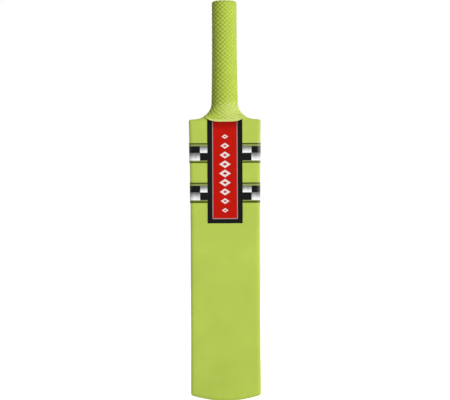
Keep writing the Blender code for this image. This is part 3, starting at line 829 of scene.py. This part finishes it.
def dress(start, material):
    """Gives every node whose name starts this way a finish of its own."""
    for name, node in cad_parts.items():
        if name.startswith(start):
            for slot in node.material_slots:
                slot.material = material


def colour_property(name, description, *levels):
    """A colour that a user may change, given as screen levels."""
    limits = {"subtype": "COLOR", "min": 0.0, "max": 1.0}
    return FloatVectorProperty(name=name, description=description, default=screen(*levels), **limits)


def length_property(name, description, default):
    """A length that a user may change."""
    return FloatProperty(name=name, description=description, default=default, subtype="DISTANCE", precision=4)


def number_property(name, description, default):
    """A plain number that a user may change."""
    return FloatProperty(name=name, description=description, default=default)


class BladeLooks(bpy.types.PropertyGroup):
    """Rubber on the blade and the wood under it."""

    face: colour_property("Face", "Colour of the rubber sheet", 182, 203, 84)
    back: colour_property("Back", "Colour of the skin over the edges and back", 177, 195, 84)
    mottle: number_property("Mottle", "How much the rubber's tone wanders", 0.22)


class GripLooks(bpy.types.PropertyGroup):
    """The diamond grip."""

    colour: colour_property("Knobs", "Colour of the raised knobs", 184, 203, 84)
    # Painted shade: the darker colour down in the pits
    pit_shade_colour: colour_property("Pits", "Colour down between the knobs", 150, 174, 42)
    stretched_colour: colour_property("Flare", "Colour where the rubber is stretched", 202, 216, 116)
    # Painted highlight: the paler colour along the bead
    bead_highlight_colour: colour_property("Bead", "Colour of the rolled lower edge", 214, 220, 134)
    knobs: IntProperty(name="Knobs", description="Knobs round the handle", default=15, min=6)
    flare_knobs: IntProperty(name="Flare knobs", description="Knobs round the flare", default=20, min=6)
    fineness: IntProperty(name="Fineness", description="Mesh steps across a knob", default=16, min=4)
    row_height: length_property("Row height", "Height of one row of the mesh", 0.0006)
    pitch: length_property("Pitch", "From one knob to the next up the handle", 0.0065)
    flare_pitch: length_property("Flare pitch", "From one knob to the next up the flare", 0.0052)
    depth: length_property("Depth", "From crown to pit on the handle", 0.0012)
    flare_depth: length_property("Flare depth", "From crown to pit on the flare", 0.0009)


class LabelLooks(bpy.types.PropertyGroup):
    """The long sticker on the face."""

    red: colour_property("Red", "Colour of the field", 191, 21, 9)
    black: colour_property("Black", "Colour of the border", 18, 20, 20)
    white: colour_property("White", "Colour of the lozenges", 232, 222, 220)
    stripe_colour: colour_property("Stripe", "Colour of the stripe inside the border", 168, 144, 142)
    side_border: length_property("Side border", "Width of the border at the sides", 0.0072)
    foot_border: length_property("Foot border", "Height of the border at the foot", 0.0063)
    stripe: length_property("Stripe width", "Width of the pale stripe", 0.0012)
    print_blur: length_property("Print blur", "Softness of the printed edges", 0.00012)
    # Painted shadow under the grip's edge: how dark it is and how far down it reaches
    grime: number_property("Shadow", "How dark the print is along the grip's edge", 0.42)
    shadow_height: length_property("Grime height", "How far the grime reaches down from the grip", 0.0150)
    motif_bottom: length_property("Motif bottom", "Height where the lozenges start", 0.2780)
    motif_top: length_property("Motif top", "Height where the lozenges end", 0.4020)
    motif_count: IntProperty(name="Lozenges", description="Number of lozenges", default=9, min=1)
    motif_half_width: length_property("Lozenge width", "Half the width of the widest lozenge", 0.0088)


class CheckLooks(bpy.types.PropertyGroup):
    """The check stickers."""

    black: colour_property("Black", "Colour of the black checks", 18, 20, 20)
    silver_dark: colour_property("Silver, dark", "Colour at a silver check's top", 120, 120, 120)
    silver_light: colour_property("Silver, light", "Colour at a silver check's foot", 250, 250, 250)
    streaks: number_property("Streaks", "How much a silver check's sheen wanders", 0.5)
    lime: colour_property("Lime", "Colour beyond the lines", 181, 200, 85)
    # Painted highlight: the paler lime along the lines' outer side
    lime_glint: colour_property("Lime, light", "Colour along the lines' outer side", 202, 220, 114)
    lime_dark: colour_property("Lime, dark", "Colour between the lines and the checks", 142, 156, 84)
    line_colour: colour_property("Lines", "Colour of the thin lines", 74, 85, 24)
    # Painted highlight along the blade's edge: its colour, its strength on each side, and how far in it
    # reaches
    edge_highlight_colour: colour_property("Highlight", "Colour of the print where it is worn", 176, 178, 168)
    left_edge_highlight: number_property("Left highlighting", "How much the print is worn along the left edge", 0.12)
    right_edge_highlight: number_property("Right highlighting", "How much the print is worn along the right edge", 0.5)
    edge_highlight_reach: length_property("Scuff reach", "How far the highlight reaches in from the blade's edge", 0.0042)
    upper_row: length_property("Upper row", "Height of the upper row of checks", 0.0101)
    lower_row: length_property("Lower row", "Height of the lower row of checks", 0.0114)
    left_boundary: length_property("Left boundary", "Where the checks on the left meet", 0.0373)
    right_boundary: length_property("Right boundary", "Where the checks on the right meet", 0.0397)
    upper_line: length_property("Upper line", "From the middle of the checks to the upper line", 0.0138)
    lower_line: length_property("Lower line", "From the middle of the checks to the lower line", 0.0142)
    upper_line_width: length_property("Upper line width", "Thickness of the upper line", 0.0022)
    lower_line_width: length_property("Lower line width", "Thickness of the lower line", 0.0028)
    print_blur: length_property("Print blur", "Softness of the printed edges", 0.00012)


class StudioLooks(bpy.types.PropertyGroup):
    """Camera, lamps and floor."""

    camera_distance: length_property("Camera distance", "From the camera to the bat", 2.6)
    view_width: length_property("View width", "Width of the picture at the bat", 0.675)
    view_height: length_property("View height", "Height of the picture's middle", 0.3003)
    view_side: length_property("View side", "Sideways place of the picture's middle", -0.0002)
    roll: FloatProperty(name="Roll", description="Lean of the camera", default=ROLL, subtype="ANGLE")
    key: number_property("Key", "Level of the main lamp", 0.955)
    side: number_property("Side", "Level of the lamp on the right", 0.26)
    back: number_property("Back", "Level of the lamp behind the bat", 0.42)
    fill: number_property("Fill", "Level of the surroundings", 0.148)


class FIELDING_BAT_OT_face(bpy.types.Operator):
    """Builds the rubber sheet on the striking face"""

    bl_idname = "fielding_bat.face"
    bl_label = "Rubber Face"

    def execute(self, context):
        looks = context.scene.blade_looks
        material = rubber("face rubber", looks.face, looks.mottle, 0.66, RUBBER_GLOSS)
        add_piece("rubber_face", *face_surface(), material, "face_rubber", ["face_sheet"])
        return {"FINISHED"}


class FIELDING_BAT_OT_skin(bpy.types.Operator):
    """Builds the skin over the blade's edges and back"""

    bl_idname = "fielding_bat.skin"
    bl_label = "Blade Skin"

    def execute(self, context):
        looks = context.scene.blade_looks
        material = rubber("skin rubber", looks.back, looks.mottle, 0.62, RUBBER_GLOSS)
        add_piece("blade_skin", *skin_surface(), material, "cover_rubber", ["back_cover"])
        return {"FINISHED"}


class FIELDING_BAT_OT_wood(bpy.types.Operator):
    """Finishes the willow blade, the canes and the rubber springs"""

    bl_idname = "fielding_bat.wood"
    bl_label = "Willow and Cane"

    def execute(self, context):
        willow = wood("willow", screen(230, 208, 164), screen(196, 160, 108), 0.0075, 700.0)
        cane = wood("cane", screen(214, 184, 126), screen(160, 122, 70), 0.0024, 1500.0)
        spring = rubber("spring rubber", screen(45, 40, 36), 0.3, 0.8, INNER_GLOSS)
        dress("blade_core", willow)
        dress("cane_", cane)
        dress("spring_", spring)
        return {"FINISHED"}


class FIELDING_BAT_OT_twine(bpy.types.Operator):
    """Winds the twine round the handle"""

    bl_idname = "fielding_bat.twine"
    bl_label = "Twine Whipping"

    def execute(self, context):
        nodes = ["handle_binding"]
        add_piece("twine_whipping", *twine_surface(), twine_finish(), "twine", nodes, sharp=SMOOTH)
        return {"FINISHED"}


class FIELDING_BAT_OT_grip(bpy.types.Operator):
    """Builds the diamond grip from its bead to its rim"""

    bl_idname = "fielding_bat.grip"
    bl_label = "Diamond Grip"

    def execute(self, context):
        looks = context.scene.grip_looks
        rings, quads, *shares = grip_surface(looks)
        material = grip_finish(looks)
        nodes = ["grip_sleeve", "grip_skirt"]
        piece = add_piece("diamond_grip", rings, quads, material, "grip_rubber", nodes, sharp=SMOOTH)
        for name, share in zip(SHARES, shares):
            layer = piece.data.attributes.new(name, "FLOAT", "POINT")
            layer.data.foreach_set("value", share.ravel().astype(np.float32))
        return {"FINISHED"}


class FIELDING_BAT_OT_label(bpy.types.Operator):
    """Prints the long sticker on the face"""

    bl_idname = "fielding_bat.label"
    bl_label = "Face Label"

    def execute(self, context):
        dress("face_label", label_finish(context.scene.label_looks))
        return {"FINISHED"}


class FIELDING_BAT_OT_checks(bpy.types.Operator):
    """Builds and prints the four check stickers"""

    bl_idname = "fielding_bat.checks"
    bl_label = "Check Stickers"

    def execute(self, context):
        looks = context.scene.check_looks
        for height, drop in PRINT_DROPS.items():
            for word, side in (("left", -1), ("right", 1)):
                node = f"check_{height}_{word}"
                low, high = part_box(node)[0][2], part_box(node)[1][2]
                material = check_finish(f"check print {height} {word}", looks, side, (low + high) / 2 - drop)
                surface = check_surface(side, low, high)
                add_piece(f"checks_{height}_{word}", *surface, material, "check_vinyl", [node])
        return {"FINISHED"}


def lamp(name, azimuth, elevation, distance, size, level):
    """A square soft lamp, turned to the bat's middle, that lights a white surface facing it to a level."""
    target = Vector((0, 0, BAT_LENGTH / 2))
    light = bpy.data.lights.new(name, "AREA")
    light.size = size
    light.energy = level * math.pi**2 * distance**2
    made = placed(name, light)
    level_reach = distance * math.cos(math.radians(elevation))
    made.location = target + Vector((
        level_reach * math.sin(math.radians(azimuth)),
        -level_reach * math.cos(math.radians(azimuth)),
        distance * math.sin(math.radians(elevation)),
    ))
    made.rotation_euler = (target - made.location).to_track_quat("-Z", "Y").to_euler()


def seen(board):
    """1 for rays from the camera, from a reflection or through glass, 0 for the light on the object."""
    rays = board.add("LightPath")
    camera, glossy, through = (Value(board, rays.outputs[name]) for name in (
        "Is Camera Ray", "Is Glossy Ray", "Is Transmission Ray"))
    return camera.most(glossy).most(through)


class FIELDING_BAT_OT_studio(bpy.types.Operator):
    """Sets up the floor, the surroundings, the lamps and the camera"""

    bl_idname = "fielding_bat.studio"
    bl_label = "Studio"

    def execute(self, context):
        scene = context.scene
        looks = scene.studio_looks
        scene.view_settings.view_transform = "Standard"

        world = scene.world = scene.world or bpy.data.worlds.new("surroundings")
        world.use_nodes = True
        world.node_tree.nodes.clear()
        board = Board(world.node_tree)
        plain = board.node("Background", None, {0: WHITE, 1: looks.fill})
        white = board.node("Background", None, {0: WHITE, 1: 1.0})
        both = board.node("MixShader", None, {0: seen(board), 1: plain, 2: white})
        board.add("OutputWorld", None, {0: both})

        rings = tube_points(FLOOR_RADII, -FLOOR_DROP, np.linspace(0, 2 * math.pi, 96, endpoint=False))
        material, board = finish("pale floor")
        glow = board.blend((0, 0, 0), FLOOR_GLOW, seen(board))
        board.feed(board.shader, {
            "Base Color": FLOOR_COLOUR,
            "Roughness": 0.9,
            "Specular IOR Level": 0.0,
            "Emission Color": glow,
            "Emission Strength": 1.0,
        })
        quads = woven(*rings.shape[:2], wrap_columns=True)
        meshed("floor", rings.reshape(-1, 3), quads, material)

        for name, place in LAMPS.items():
            lamp(name + " lamp", *place, getattr(looks, name))
        lens = bpy.data.cameras.new("camera")
        lens.sensor_fit = "HORIZONTAL"
        lens.sensor_width = SENSOR_WIDTH
        lens.lens = SENSOR_WIDTH * looks.camera_distance / looks.view_width
        camera = placed("camera", lens)
        camera.location = (looks.view_side, AIM_Y - looks.camera_distance, looks.view_height)
        camera.rotation_euler = (math.pi / 2, looks.roll, 0.0)
        scene.camera = camera
        return {"FINISHED"}


class FIELDING_BAT_PT_panel(bpy.types.Panel):
    """The bat's pieces and looks in the sidebar of the 3D view"""

    bl_idname = "FIELDING_BAT_PT_panel"
    bl_label = "Fielding Bat"
    bl_space_type = "VIEW_3D"
    bl_region_type = "UI"
    bl_category = "Fielding Bat"

    def draw(self, context):
        for name, _, operators in STEPS:
            box = self.layout.box()
            for operator in operators:
                box.operator(operator.bl_idname)
            looks = getattr(context.scene, name)
            for key in looks.bl_rna.properties.keys():
                if key not in ("rna_type", "name"):
                    box.prop(looks, key)


# The groups of looks and the operators that use them, in the order in which the bat is built
STEPS = (
    ("blade_looks", BladeLooks, (FIELDING_BAT_OT_face, FIELDING_BAT_OT_skin, FIELDING_BAT_OT_wood)),
    ("grip_looks", GripLooks, (FIELDING_BAT_OT_twine, FIELDING_BAT_OT_grip)),
    ("label_looks", LabelLooks, (FIELDING_BAT_OT_label,)),
    ("check_looks", CheckLooks, (FIELDING_BAT_OT_checks,)),
    ("studio_looks", StudioLooks, (FIELDING_BAT_OT_studio,)),
)
KINDS = [kind for _, looks, operators in STEPS for kind in (looks, *operators)] + [FIELDING_BAT_PT_panel]


def register():
    for kind in KINDS:
        bpy.utils.register_class(kind)
    for name, looks, _ in STEPS:
        setattr(bpy.types.Scene, name, PointerProperty(type=looks))


def unregister():
    for name, _, _ in STEPS:
        delattr(bpy.types.Scene, name)
    for kind in reversed(KINDS):
        bpy.utils.unregister_class(kind)


def main():
    """Builds every piece in order."""
    register()
    for _, _, operators in STEPS:
        for operator in operators:
            group, step = operator.bl_idname.split(".")
            getattr(getattr(bpy.ops, group), step)()


if __name__ == "__main__":
    main()
